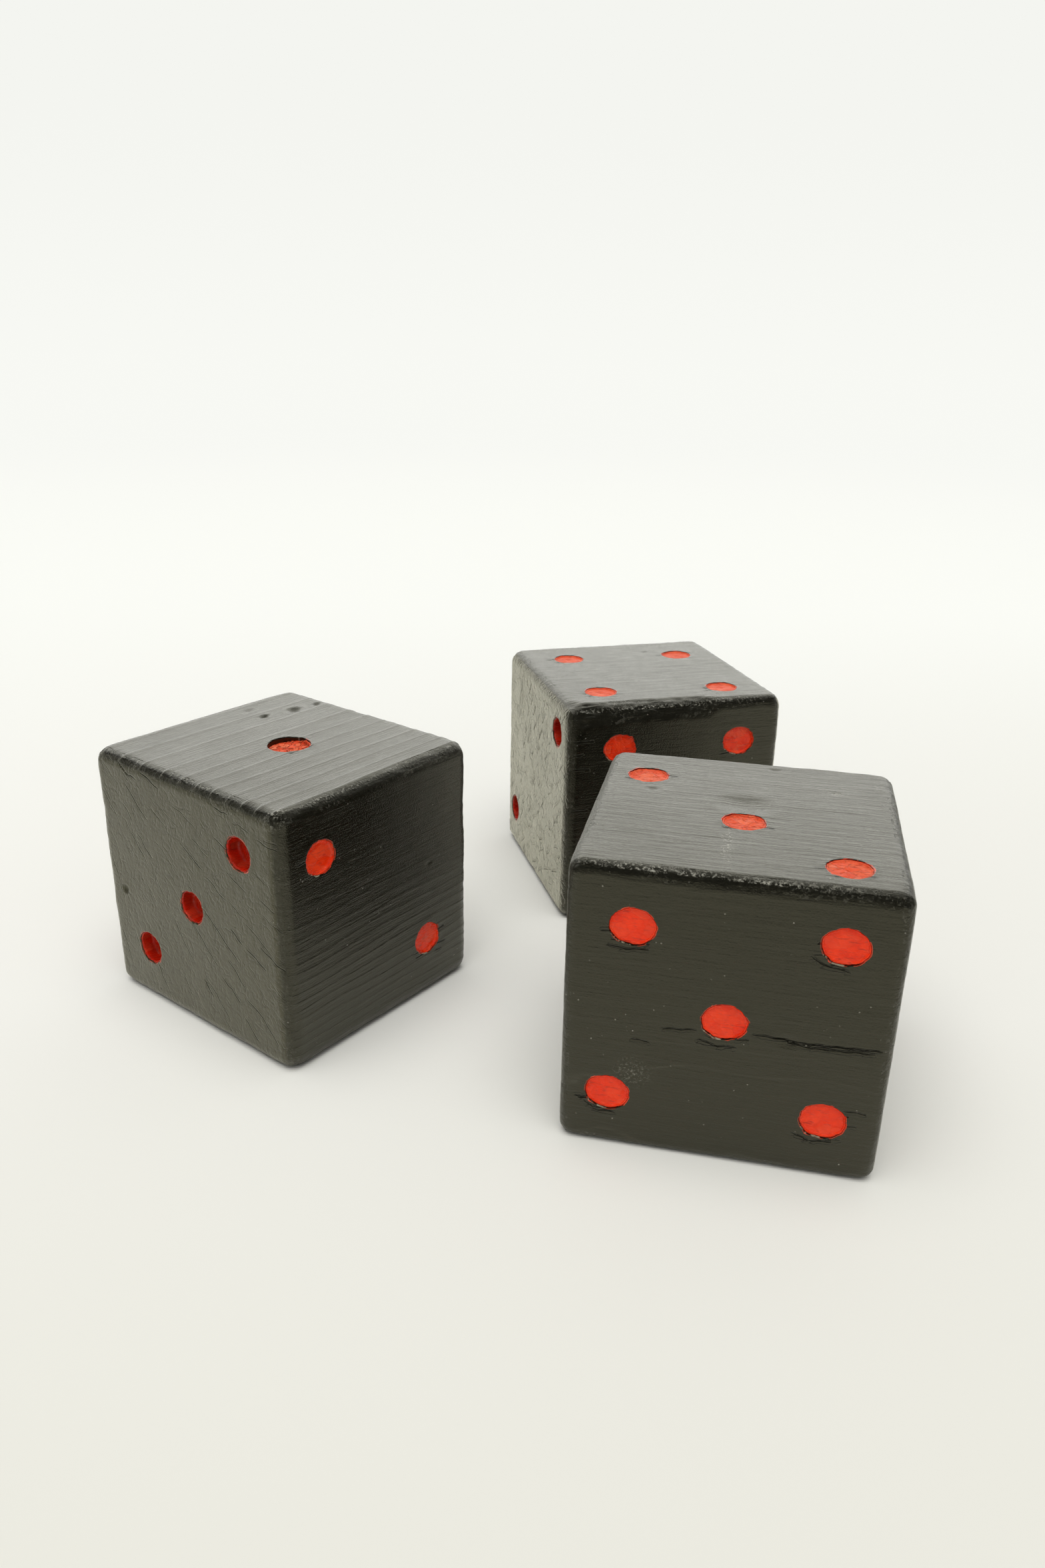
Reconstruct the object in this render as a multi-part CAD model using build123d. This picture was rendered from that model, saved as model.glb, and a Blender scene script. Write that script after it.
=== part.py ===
from build123d import *
import os

# A set of three giant yard dice: solid softwood blocks with drilled, enamelled pips.
# Lengths are in millimetres and angles in degrees. Each die is first modelled about its own
# centre with the wood grain along X, so its two X faces are end grain, and is then turned and
# stood on the ground at its place in the set.

# ---- timber blocks, sawn from square post and sanded round on every edge ----
LEFT_SIZE = (86.0, 91.5, 89.0)
FRONT_SIZE = (90.0, 89.0, 90.0)
BACK_SIZE = (88.0, 87.0, 88.5)
EDGE_RADIUS = 6.0

# ---- how the set lies on the ground: centre of each die and turn about Z ----
LEFT_PLACE = (-81.0, 362.5, 52.5)
FRONT_PLACE = (65.5, 309.0, -12.0)
BACK_PLACE = (47.5, 458.5, 15.5)

# ---- pips, round recesses drilled in every face ----
PIP_DIAMETER = 12.2
SINGLE_PIP_DIAMETER = 15.2  # the pip of a one-pip face is wider
PIP_DEPTH = 2.0             # in long grain
SINGLE_PIP_DEPTH = 3.5      # and deeper
END_PIP_DEPTH = 5.0         # the bit sinks further into end grain
PIP_PITCH = 26.0            # from the middle of a face to a row of pips
POINT_DIAMETER = 2.4        # dimple left by the point of the bit
POINT_DEPTH = 1.2

# ---- enamel skin that lines each pip ----
SKIN_FLOOR = 0.4
SKIN_WALL = 0.35
SKIN_LIP = 0.4              # the skin stops this far below the face
SKIN_GAP = 0.02             # keeps the skin clear of the wall of its hole

# ---- drilling order: the number on each face, opposite faces adding up to seven ----
LEFT_NUMBERS = {"-x": 3, "+x": 4, "-y": 2, "+y": 5, "+z": 1, "-z": 6}
FRONT_NUMBERS = {"-x": 1, "+x": 6, "-y": 5, "+y": 2, "+z": 3, "-z": 4}
BACK_NUMBERS = {"-x": 2, "+x": 5, "-y": 6, "+y": 1, "+z": 4, "-z": 3}

# The pips were marked out by hand, so on these faces they sit off the regular pattern.
# Each pair is the distance to the right of and above the middle of the face.
LEFT_BY_HAND = {
    "-x": [(27.5, 27.5), (1.5, 0.5), (-24.5, -24)],
    "-y": [(-26.5, 26), (20.5, -22.5)],
    "+z": [(1, -2)],
}
FRONT_BY_HAND = {
    "-y": [(-26.5, 27.5), (29, 29), (0, 1.5), (-31, -27), (29, -26)],
    "+z": [(-31, 23), (0, -6.5), (28.5, -30.5)],
}
BACK_BY_HAND = {
    "-x": [(29.5, 31), (-30.5, -26)],
    "-y": [(-23, 27.5), (26, 27), (-24, 0), (26, 0), (-24, -27), (26, -27)],
    "+z": [(-23.5, 22.5), (24.5, 20), (-25, -24), (24.5, -27.5)],
}


def face_plane(face, size):
    """Plane on one face of a die: Z outwards, Y upwards, X to the right seen from outside."""
    half_length, half_width, half_height = (side / 2 for side in size)
    planes = {
        "-x": Plane((-half_length, 0, 0), x_dir=(0, -1, 0), z_dir=(-1, 0, 0)),
        "+x": Plane((half_length, 0, 0), x_dir=(0, 1, 0), z_dir=(1, 0, 0)),
        "-y": Plane((0, -half_width, 0), x_dir=(1, 0, 0), z_dir=(0, -1, 0)),
        "+y": Plane((0, half_width, 0), x_dir=(-1, 0, 0), z_dir=(0, 1, 0)),
        "+z": Plane((0, 0, half_height), x_dir=(1, 0, 0), z_dir=(0, 0, 1)),
        "-z": Plane((0, 0, -half_height), x_dir=(1, 0, 0), z_dir=(0, 0, -1)),
    }
    return planes[face]


def pattern(number):
    """Regular pip centres for a number, seen from outside the face."""
    p = PIP_PITCH
    centre = [(0, 0)]
    falling = [(-p, p), (p, -p)]
    rising = [(-p, -p), (p, p)]
    middle_row = [(-p, 0), (p, 0)]
    patterns = {
        1: centre,
        2: falling,
        3: falling + centre,
        4: falling + rising,
        5: falling + rising + centre,
        6: falling + rising + middle_row,
    }
    return patterns[number]


def drilling(diameter, depth):
    """Material that the bit takes out, with the mouth of the hole at Z = 0."""
    overshoot = 1.0
    barrel = Pos(0, 0, (overshoot - depth) / 2) * Cylinder(diameter / 2, depth + overshoot)
    point = Pos(0, 0, -depth - POINT_DEPTH / 2) * Cone(0.0, POINT_DIAMETER / 2, POINT_DEPTH)
    return barrel + point


def enamel(diameter, depth):
    """Cup-shaped skin of paint on the floor and wall of a hole, filling the point dimple."""
    radius = diameter / 2 - SKIN_GAP
    height = depth - SKIN_LIP
    hollow = height - SKIN_FLOOR
    outside = Pos(0, 0, height / 2 - depth) * Cylinder(radius, height)
    inside = Pos(0, 0, -SKIN_LIP - hollow / 2) * Cylinder(radius - SKIN_WALL, hollow)
    point = Pos(0, 0, -depth - POINT_DEPTH / 2) * Cone(0.0, POINT_DIAMETER / 2, POINT_DEPTH)
    return outside - inside + point


def hole_size(face, number):
    """Diameter and depth of the holes on one face."""
    diameter = SINGLE_PIP_DIAMETER if number == 1 else PIP_DIAMETER
    if face in ("-x", "+x"):
        return diameter, END_PIP_DEPTH
    return diameter, SINGLE_PIP_DEPTH if number == 1 else PIP_DEPTH


def make_die(name, size, place, numbers, by_hand):
    """One die on the ground: its block and one group of enamel skins for each face."""
    x, y, turn = place
    stand = Pos(x, y, size[2] / 2) * Rot(0, 0, turn)
    block = Box(*size)
    block = fillet(block.edges(), EDGE_RADIUS)
    skins = {}
    for face, number in numbers.items():
        hole = hole_size(face, number)
        plane = face_plane(face, size)
        centres = by_hand.get(face, pattern(number))
        seats = [plane * Pos(u, v, 0) for u, v in centres]
        for seat in seats:
            block -= seat * drilling(*hole)
        skins[number] = [stand * (seat * enamel(*hole)) for seat in seats]
    nodes = {f"{name}_block": stand * block}
    for number in sorted(skins):
        nodes[f"{name}_pips_{number}"] = Compound(skins[number])
    return nodes


nodes = {}
nodes.update(make_die("left_die", LEFT_SIZE, LEFT_PLACE, LEFT_NUMBERS, LEFT_BY_HAND))
nodes.update(make_die("front_die", FRONT_SIZE, FRONT_PLACE, FRONT_NUMBERS, FRONT_BY_HAND))
nodes.update(make_die("back_die", BACK_SIZE, BACK_PLACE, BACK_NUMBERS, BACK_BY_HAND))

# The origin is on the ground, below the middle of the set.
boxes = [shape.bounding_box() for name, shape in nodes.items() if name.endswith("_block")]
middle_x = (min(box.min.X for box in boxes) + max(box.max.X for box in boxes)) / 2
middle_y = (min(box.min.Y for box in boxes) + max(box.max.Y for box in boxes)) / 2
os.makedirs("parts", exist_ok=True)
for name, shape in nodes.items():
    export_step(Pos(-middle_x, -middle_y, 0) * shape, f"parts/{name}.step")
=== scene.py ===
import math
from types import SimpleNamespace

import bpy
import numpy as np
from mathutils import Matrix, Vector


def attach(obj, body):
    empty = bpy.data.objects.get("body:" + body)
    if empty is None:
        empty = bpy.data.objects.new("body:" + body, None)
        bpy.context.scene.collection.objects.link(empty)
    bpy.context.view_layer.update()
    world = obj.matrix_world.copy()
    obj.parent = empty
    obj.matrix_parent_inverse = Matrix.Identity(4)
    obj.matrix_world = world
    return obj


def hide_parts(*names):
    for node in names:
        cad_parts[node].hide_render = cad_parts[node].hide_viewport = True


# Three giant yard dice: sawn softwood blocks under worn black paint, with drilled pips under
# red enamel. A die's shape is worked out in its own frame, in millimetres, with the wood grain
# along X; its object then carries that mesh, in metres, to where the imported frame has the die.

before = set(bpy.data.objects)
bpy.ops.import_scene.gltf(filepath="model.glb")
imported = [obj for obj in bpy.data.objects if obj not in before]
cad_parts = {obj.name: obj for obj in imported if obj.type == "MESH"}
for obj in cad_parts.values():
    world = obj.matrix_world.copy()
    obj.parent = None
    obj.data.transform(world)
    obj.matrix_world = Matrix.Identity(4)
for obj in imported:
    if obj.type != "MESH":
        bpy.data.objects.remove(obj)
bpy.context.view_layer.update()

MM = 0.001

# Which way is right, up and out on each face, seen from outside.
FACES = {
    "-x": ((0, -1, 0), (0, 0, 1), (-1, 0, 0)),
    "+x": ((0, 1, 0), (0, 0, 1), (1, 0, 0)),
    "-y": ((1, 0, 0), (0, 0, 1), (0, -1, 0)),
    "+y": ((-1, 0, 0), (0, 0, 1), (0, 1, 0)),
    "+z": ((1, 0, 0), (0, 1, 0), (0, 0, 1)),
    "-z": ((1, 0, 0), (0, -1, 0), (0, 0, -1)),
}
FACES = {face: np.array(axes, float) for face, axes in FACES.items()}
OPPOSITE = {"-x": "+x", "-y": "+y", "+z": "-z"}
END_GRAIN = ("-x", "+x")

# ---- the three dice
# Lengths are in millimetres. A place on a face is (right, up) of its middle, seen from outside.
# numbers: what the -x, -y and +z faces show. pith: where the middle of the tree lies in the
# Y-Z section. rings: (distance from the pith, width of a growth ring there), and the first
# distance is that of a ring's hard edge. edge: radius of the edges round the top, at mid
# height and round the foot. ridge: how far the late wood stands out, by face. chipped: (from,
# to, wear) of the top front edge, whose wear adds to its radius. crackle: how crazed the paint
# on the ends is, from 0 to 1. cracks: on the ends, (angle between the rows that fan out from
# the pith, shortest, longest).
# oval: added to a pip's radius to the right and upwards; mostly negative, so a drawn pip is
# narrower than its hole in the frame.
# fill: how far below the face the enamel's floor lies. lip: average depth of its upper edge.
# bare: (angle, depth) of the side of a hole that the enamel left bare. chew: roughness of the
# enamel's floor. dents, by face: (right, up, radius, depth). splits, by face: (depth,
# points). scuffs, by face: (right, up, half length, half width).
DICE = {
    "left_die": {
        "numbers": {"-x": 3, "-y": 2, "+z": 1},
        "seed": 11,
        "pith": (57.0, 57.0),
        "rings": (
            (28.6, 9.0), (42, 10.8), (53, 8.8), (62, 7.8), (76, 7.3), (90, 6.2),
            (99, 5.6), (107, 3.8), (114, 2.3), (120, 1.8), (135, 2.2), (200, 2.2),
        ),
        "edge": (4.0, 4.8, 4.4),
        "ridge": {"+z": 0.095, "-y": 0.034, "+y": 0.03, "-z": 0.03},
        "chipped": (-20.0, 45.0, 0.5),
        "crackle": 0.35,
        "fibre": 0.45,
        "cracks": (0.115, 6.0, 20.0),
        "oval": {"+z": (-0.45, -0.45), "-x": (-0.4, -0.45), "-y": (-0.25, -0.5)},
        "fill": {"+z": 2.1, "-y": 1.1},
        "lip": {"+z": 0.45, "-x": 0.3, "-y": 0.15},
        "bare": {"+z": (85.0, 1.5)},
        "chew": {"+z": 0.75, "-y": 0.12},
        "dents": {
            "-x": [(-35.5, -5, 1.6, 0.8)],
            "+z": [
                (14.5, 26.5, 1.5, 0.9), (26.5, 24, 2.4, 0.9), (36.5, 23, 1.4, 0.7),
                (15, 35.5, 1.8, 0.3),
            ],
            "-y": [(22, 6, 0.8, 0.4)],
        },
        "splits": {
            "-y": [(0.5, [(22, -25.5), (26, -26.8), (30, -27.2)]), (0.4, [(24, -29), (28, -29.5)])],
        },
        "scuffs": {
            "+z": [(-40, -42.5, 3.5, 2.6), (-20, -44.5, 16, 0.8)],
            "-y": [(-41, 42, 3.5, 1.8)],
            "-x": [(41.5, 41.5, 4, 2.0)],
        },
    },
    "front_die": {
        "numbers": {"-x": 1, "-y": 5, "+z": 3},
        "seed": 23,
        "pith": (40.0, -30.0),
        "rings": ((3.0, 4.0), (30, 3.0), (60, 2.2), (80, 1.9), (200, 1.8)),
        "edge": (3.6, 3.0, 3.2),
        "ridge": {"+z": 0.018, "-y": 0.007, "+y": 0.02, "-z": 0.02},
        "chipped": (-34.0, 44.0, 0.9),
        "crackle": 0.12,
        "fibre": 1.2,
        "cracks": (0.11, 3.0, 11.0),
        "oval": {"-y": (0.2, -0.65), "+z": (0.1, -0.3)},
        "fill": {"-y": 0.75, "+z": 0.7},
        "lip": {"+z": 0.14, "-y": 0.12},
        "bare": {"+z": (95.0, 0.12), "-y": (235.0, 0.3)},
        "chew": {"+z": 0.3, "-y": 0.06},
        "dents": {
            "+z": [
                (0, 6, 6.5, 0.7), (-28.5, 11.5, 1.6, 0.35), (8, 37.5, 1.3, 0.3),
                (26.5, 22, 1.5, 0.25),
            ],
            "-y": [(17, -1.9, 2.2, 0.35)],
        },
        "splits": {
            "-y": [
                (0.9, [(7.5, -1), (13, -1.2), (20, -1.9), (30, -1.5), (42.5, -0.9)]),
                (0.45, [(17, -2.2), (24, -2.9), (34, -2.4), (41, -2.2)]),
                (0.35, [(-17.5, -3), (-12, -2.6), (-7, -2)]),
                (0.25, [(-26, -7.6), (-19.5, -8.2)]), (0.3, [(34, -21.5), (41, -21.8)]),
                (0.5, [(-33.5, 21.5), (-28, 20.6), (-21.5, 21.3)]),
                (0.5, [(20.5, 25.5), (23.5, 23.2), (31, 22)]),
                (0.5, [(-7, -4.6), (-2, -6.4), (4, -5.8)]),
                (0.5, [(21, -31), (26, -33.2), (32.5, -32.4)]),
                (0.45, [(-38, -30.5), (-34, -33.6), (-28, -33.4)]),
            ],
        },
        "scuffs": {
            "+z": [
                (-4, -24, 1.2, 9.0), (26.5, 22, 1.6, 2.2), (-24, -43, 22, 1.6),
                (8, -43.5, 18, 1.2),
            ],
            "-y": [(-24.5, -19, 4, 3.5)],
        },
    },
    "back_die": {
        "numbers": {"-x": 2, "-y": 6, "+z": 4},
        "seed": 37,
        "pith": (50.0, -68.0),
        "rings": ((5.0, 4.0), (60, 3.0), (100, 2.3), (200, 2.0)),
        "edge": (4.4, 4.0, 4.0),
        "ridge": {"+z": 0.016, "-y": 0.007, "+y": 0.02, "-z": 0.02},
        "chipped": (-43.0, 16.0, 4.2),
        "crackle": 1.0,
        "fibre": 0.9,
        "cracks": (0.08, 2.0, 8.0),
        "oval": {"-y": (0.2, -0.6), "+z": (0.0, -0.4), "-x": (-0.3, -0.3)},
        "fill": {"-y": 0.8, "+z": 0.65},
        "lip": {"+z": 0.14, "-y": 0.15},
        "bare": {"+z": (80.0, 0.12)},
        "chew": {"+z": 0.15, "-y": 0.12},
        "dents": {"+z": [(12, 26.5, 1.2, 0.25)], "+x": [(20, 12, 2.0, 0.4)]},
        "splits": {
            "-y": [
                (0.35, [(-42.5, 31.5), (-33.5, 31.6)]), (0.35, [(-42, 20.4), (-34, 20.2)]),
                (0.35, [(-43, 3), (-35, 3.2)]), (0.3, [(-42, 26), (-37.5, 26.4)]),
            ],
        },
        "scuffs": {
            "+z": [(-10, -42.5, 34, 1.8)],
        },
    },
}

# ---- mesh density
GRAIN_STEP = 1.25  # between mesh lines along the grain
CROSS_STEP = 0.48  # between mesh lines across the grain
PATCH = 10.0  # half side of the patch of mesh that is rebuilt round a pip
PATCH_RINGS = 9
SKIN_SPOKES = 84

# ---- the drilled pips
SKIN_THICKNESS = 0.38  # of the enamel's wall, and of its floor unless a die fills it higher
SKIN_GAP = 0.03  # between the enamel and the wood, so that neither shows through
POINT_DEPTH = 1.2  # of the dimple that the bit's point leaves
DIMPLE = {"-x": 0.4, "+x": 0.4, "-y": 0.0, "+y": 0.25, "+z": 0.3, "-z": 0.25}  # in the enamel
LIP_BELOW = 0.35  # average depth of the enamel's upper edge below the face
FRAYED_SIDE = math.radians(245.0)  # where the bit tore the rims of the long-grain faces most

# ---- cracks and slow waves of the wood
CRACK_REACH = 0.95  # how far from a crack a vertex still records its distance to it
GROOVE_DEPTH = 0.16  # of a crack at full strength
GROOVE_WIDTH = 0.35
ROW_START = 12.0  # from the pith to the first crack of a row
HALF_ROW_START = 95.0  # the rows in between start here, where there is room for them
WAVES = ((27, 0.09), (9, 0.045))  # length and height of the unevenness left by sanding


# ======== noise
def hashed(cell, seed):
    """A pseudo-random 32-bit number for each whole-number cell (n x 3)."""
    mask = 0xFFFFFFFF
    mixed = (cell[:, 0] * 73856093) ^ (cell[:, 1] * 19349663) ^ (cell[:, 2] * 83492791)
    mixed = (mixed ^ (seed * 668265263)) & mask
    mixed = ((mixed ^ (mixed >> 15)) * 0x2C1B3C6D) & mask
    mixed = ((mixed ^ (mixed >> 12)) * 0x297A2D39) & mask
    return mixed ^ (mixed >> 15)


def noise(points, seed=0):
    """Smooth gradient noise from about -1 to 1 at points (n x 3)."""
    cell = np.floor(points).astype(np.int64)
    inside = points - cell
    fade = inside**3 * (inside * (inside * 6 - 15) + 10)
    total = np.zeros(len(points))
    for corner in np.ndindex(2, 2, 2):
        number = hashed(cell + corner, seed)
        slopes = np.stack([number & 1023, (number >> 10) & 1023, (number >> 20) & 1023], -1)
        slopes = slopes / 511.5 - 1
        weight = np.where(corner, fade, 1 - fade).prod(-1)
        total += ((inside - corner) * slopes).sum(-1) * weight
    return total * 1.4


def fractal(points, octaves, seed=0):
    """Noise with finer and fainter copies of itself added."""
    total = np.zeros(len(points))
    for octave in range(octaves):
        total += noise(points * 2.03**octave, seed + octave * 101) * 0.5**octave
    return total


def smooth_step(low, high, value):
    """0 at low and before it, 1 at high and beyond, easing in and out. low may be the larger."""
    t = np.clip((value - low) / (high - low), 0, 1)
    return t * t * (3 - 2 * t)


def bell(value, width):
    """1 at 0, falling to almost nothing at twice the width."""
    return np.exp(-((value / width) ** 2))


def circle(angle, size, key):
    """Points for noise that closes on itself round a hole, with key to tell holes apart."""
    return np.stack([np.cos(angle) * size, np.sin(angle) * size, np.full_like(angle, key)], -1)


# ======== reading the frame
def node_points(name):
    """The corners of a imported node, in millimetres (n x 3)."""
    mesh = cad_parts[name].data
    co = np.empty(len(mesh.vertices) * 3)
    mesh.vertices.foreach_get("co", co)
    return co.reshape(-1, 3) / MM


def side_turn(name):
    """Turn about Z of a block's upright faces, modulo a quarter turn, from their areas."""
    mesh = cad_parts[name].data
    total = 0j
    for polygon in mesh.polygons:
        normal = polygon.normal
        if abs(normal.z) < 0.01:
            total += polygon.area * np.exp(4j * math.atan2(normal.y, normal.x))
    return np.angle(total) / 4


def turned(angle):
    """Rotation about Z as a 3 x 3 array."""
    c, s = math.cos(angle), math.sin(angle)
    return np.array([[c, -s, 0], [s, c, 0], [0, 0, 1]])


def read_die(name, style):
    """A die's centre, turn, half sizes and holes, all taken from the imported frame."""
    block = node_points(f"{name}_block")
    low, high = block.min(0), block.max(0)
    centre = (low + high) / 2
    left = node_points(f"{name}_pips_{style['numbers']['-x']}").mean(0) - centre
    turns = [side_turn(f"{name}_block") + quarter * math.pi / 2 for quarter in range(4)]
    turn = max(turns, key=lambda angle: (left @ turned(angle))[0] * -1)
    local = (block - centre) @ turned(turn)
    half = (local.max(0) - local.min(0)) / 2
    numbers = dict(style["numbers"])
    for face, other in OPPOSITE.items():
        numbers[other] = 7 - numbers[face]
    holes = {}
    for face, number in numbers.items():
        points = (node_points(f"{name}_pips_{number}") - centre) @ turned(turn)
        holes[face] = find_holes(points, face, half)
        for hole in holes[face]:
            hole.oval = style["oval"].get(face, (0.0, -0.3))
    die = SimpleNamespace(name=name, style=style, seed=style["seed"], numbers=numbers)
    die.centre, die.turn, die.half, die.holes = centre, turn, half, holes
    return die


def find_holes(points, face, half):
    """Centre, radius and depth of each hole on a face, from the skins that line them."""
    right, up, out = FACES[face]
    flat = np.stack([points @ right, points @ up], -1)
    level = points @ out - abs(half @ out)
    spread = 12.0  # skins are further apart than this, and narrower than this from the middle
    groups = []
    left = np.ones(len(points), bool)
    while left.any():
        start = flat[left][0]
        near = left & (np.hypot(*(flat - start).T) < spread * 1.4)
        middle = (flat[near].min(0) + flat[near].max(0)) / 2
        radius = (flat[near].max(0) - flat[near].min(0)).max() / 2
        depth = -level[near].min() - POINT_DEPTH
        groups.append(SimpleNamespace(at=middle, radius=radius, depth=depth))
        left &= ~near
    return sorted(groups, key=lambda hole: (round(hole.at[1]), round(hole.at[0])))


# ======== the wood's surface
def ring_count(die, p):
    """Number of growth rings between the pith and each point, which drifts along the grain."""
    x, y, z = p.T
    pith_y, pith_z = die.style["pith"]
    drift = np.stack([x / 60, y / 45, z / 45], -1)
    reach = np.hypot(y - pith_y, z - pith_z) + 1.3 * noise(drift, die.seed + 5)
    reach = reach + 0.5 * noise(p / (24, 7, 7), die.seed + 6)
    stations, widths = np.array(die.style["rings"]).T
    fine = np.linspace(0, stations[-1], 900)
    grown = np.cumsum(1 / np.interp(fine, stations, widths)) * fine[1]
    return np.interp(reach, fine, grown) - np.interp(stations[0], fine, grown) + 40


def edge_radius(die, p):
    """Radius of the rounded edges at each point p of the sharp box, in millimetres."""
    top, middle, foot = die.style["edge"]
    half, seed = die.half, die.seed
    level = p[:, 2] / half[2]
    radius = np.interp(level, [-1, -0.7, 0.7, 1], [foot, middle, middle, top])
    corner = smooth_step(half - 9, half - 1, np.abs(p)).prod(-1)
    start, end, wear = die.style["chipped"]
    window = smooth_step(start - 3, start + 5, p[:, 0]) * smooth_step(end + 3, end - 8, p[:, 0])
    brink = smooth_step(half[1] - 14, half[1] - 5, -p[:, 1])
    brink = brink * smooth_step(half[2] - 14, half[2] - 5, p[:, 2])
    broken = 1 + 0.35 * noise(p / 6.5, seed + 34) + 0.25 * noise(p / 2.2, seed + 35)
    radius = radius + 0.8 * corner + wear * window * brink * broken
    radius = radius * (1 + 0.09 * noise(p / 14, seed + 31) + 0.08 * noise(p / 4.2, seed + 32))
    return radius + 0.15 * noise(p / 1.5, seed + 33)


def long_grain(die, face, p):
    """Height of a long-grain face at points p, and how strongly its growth rings show."""
    seed, style = die.seed, die.style
    x, y, z = p.T
    rings = ring_count(die, p)
    phase = rings - np.floor(rings)
    ridge = smooth_step(0.0, 0.13, phase) * np.exp(-phase * 4.0)
    strength = 1 + 0.55 * noise(np.stack([x / 22, rings * 1.7, rings * 0], -1), seed + 7)
    if face in ("-y", "+y"):
        strength = strength * (0.25 + 1.2 * smooth_step(25, -20, z))
    near_end = smooth_step(die.half[0] - 7, die.half[0], np.abs(x))
    strength = strength * style["ridge"].get(face, 0.1) * (1 + 0.5 * near_end)
    height = strength * (ridge * 2 - 0.5)
    streaks = fractal(np.stack([x / 30, y / 2.3, z / 2.3], -1), 3, seed + 8)
    fibres = noise(np.stack([x / 9, y / 1.0, z / 1.0], -1), seed + 9)
    dimples = noise(p / (3.2, 1.7, 1.7), seed + 10)
    return height + style["fibre"] * (0.035 * streaks + 0.02 * fibres + 0.015 * dimples), strength


def drying_cracks(die, face, p):
    """Signed distance to the nearest of the short cracks that fan out from the pith across an
    end, and how deep it is there."""
    pith_y, pith_z = die.style["pith"]
    turn, shortest, longest = die.style["cracks"]
    rng = np.random.default_rng(die.seed + (1 if face == "-x" else 2))
    y, z = p[:, 1], p[:, 2]
    nearest, depth = np.full(len(p), CRACK_REACH), np.zeros(len(p))
    bearing = np.arctan2(z - pith_z, y - pith_y)
    bearing = np.unwrap(np.sort(bearing))
    reach_most = np.hypot(y - pith_y, z - pith_z).max()
    start_bearing, end_bearing = bearing[0], bearing[-1]
    for angle in np.arange(start_bearing, end_bearing, turn):
        for share in (0.0, 0.5):
            row = angle + turn * (share + rng.uniform(-0.22, 0.22))
            reach = HALF_ROW_START if share else ROW_START
            while reach < reach_most:
                reach += rng.uniform(0.5, 9.0)
                length = rng.uniform(shortest, longest) / 2
                side_step = rng.normal(0, 0.9)
                tilt = row + rng.normal(0, 0.06)
                at_y = pith_y + (reach + length) * math.cos(row) - side_step * math.sin(row)
                at_z = pith_z + (reach + length) * math.sin(row) + side_step * math.cos(row)
                reach += 2 * length
                strength = rng.uniform(0.3, 1.0) ** 2
                bow, wave, jog = rng.normal(0, 0.008), rng.uniform(0.4, 1.1), rng.normal(0, 0.5)
                jog_at = rng.uniform(-0.6, 0.6) * length
                box = (np.abs(y - at_y) < length + 2) & (np.abs(z - at_z) < length + 2)
                near = np.nonzero(box)[0]
                if not len(near):
                    continue
                dy, dz = y[near] - at_y, z[near] - at_z
                s = dy * math.cos(tilt) + dz * math.sin(tilt)
                off = -dy * math.sin(tilt) + dz * math.cos(tilt)
                step = jog * smooth_step(-0.7, 0.7, s - jog_at)
                off -= bow * s * s + 0.14 * np.sin(s * wave) + step
                taper = np.sqrt(np.clip(1 - (s / length) ** 2, 0, 1))
                closer = (np.abs(off) < np.abs(nearest[near])) & (taper > 0)
                nearest[near[closer]] = off[closer]
                depth[near[closer]] = (strength * taper)[closer]
    return nearest, depth


def end_grain(die, face, p):
    """Height of a sawn end, whose rings barely show under leathery paint, and its ridges."""
    seed = die.seed
    rings = ring_count(die, p)
    height = 0.01 * np.sin(rings * 2 * math.pi)
    rough = 0.5 + die.style["crackle"]
    height += 0.022 * rough * fractal(p / 2.6, 2, seed + 12)
    return height + 0.014 * rough * noise(p / 1.2, seed + 13), np.full(len(p), 0.01)


def dented(die, face, flat):
    """Height of the dents drawn on one face, at its right and up positions (n x 2)."""
    height = np.zeros(len(flat))
    for right, up, radius, depth in die.style["dents"].get(face, ()):
        d = np.hypot(flat[:, 0] - right, (flat[:, 1] - up) * 1.25) / radius
        height -= depth * np.exp(-(d**2.4))
        height += 0.15 * depth * bell(d - 1.6, 0.45)
    return height


def line_field(flat, points, depth, nearest, deepest):
    """Adds a crack along a line of points to a field of signed distances and depths."""
    points = np.array(points, float)
    steps = np.hypot(*np.diff(points, axis=0).T)
    done = 0.0
    for start, end, step in zip(points[:-1], points[1:], steps):
        ahead = (end - start) / step
        arm = flat - start
        along = arm @ ahead
        off = arm[:, 1] * ahead[0] - arm[:, 0] * ahead[1]
        off = off + 0.12 * np.sin((done + along) * 1.3)
        share = (done + along) / steps.sum()
        taper = np.sqrt(np.clip(np.minimum(share, 1 - share) * 5, 0, 1))
        near = (along >= -0.01) & (along <= step + 0.01) & (np.abs(off) < np.abs(nearest))
        nearest[near] = off[near]
        deepest[near] = (depth * taper)[near]
        done += step


def cracks_on(die, face, flat, p):
    """The field of cracks on one face: signed distance to the nearest and its depth."""
    if face in END_GRAIN:
        nearest, depth = drying_cracks(die, face, p)
    else:
        nearest, depth = np.full(len(p), CRACK_REACH), np.zeros(len(p))
    for deep, points in die.style["splits"].get(face, ()):
        line_field(flat, points, deep, nearest, depth)
    if face not in END_GRAIN:
        for points, deep in torn_fibres(die, face):
            line_field(flat, points, deep, nearest, depth)
    depth[np.abs(nearest) >= CRACK_REACH] = 0
    return np.clip(nearest, -CRACK_REACH, CRACK_REACH), depth


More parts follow.
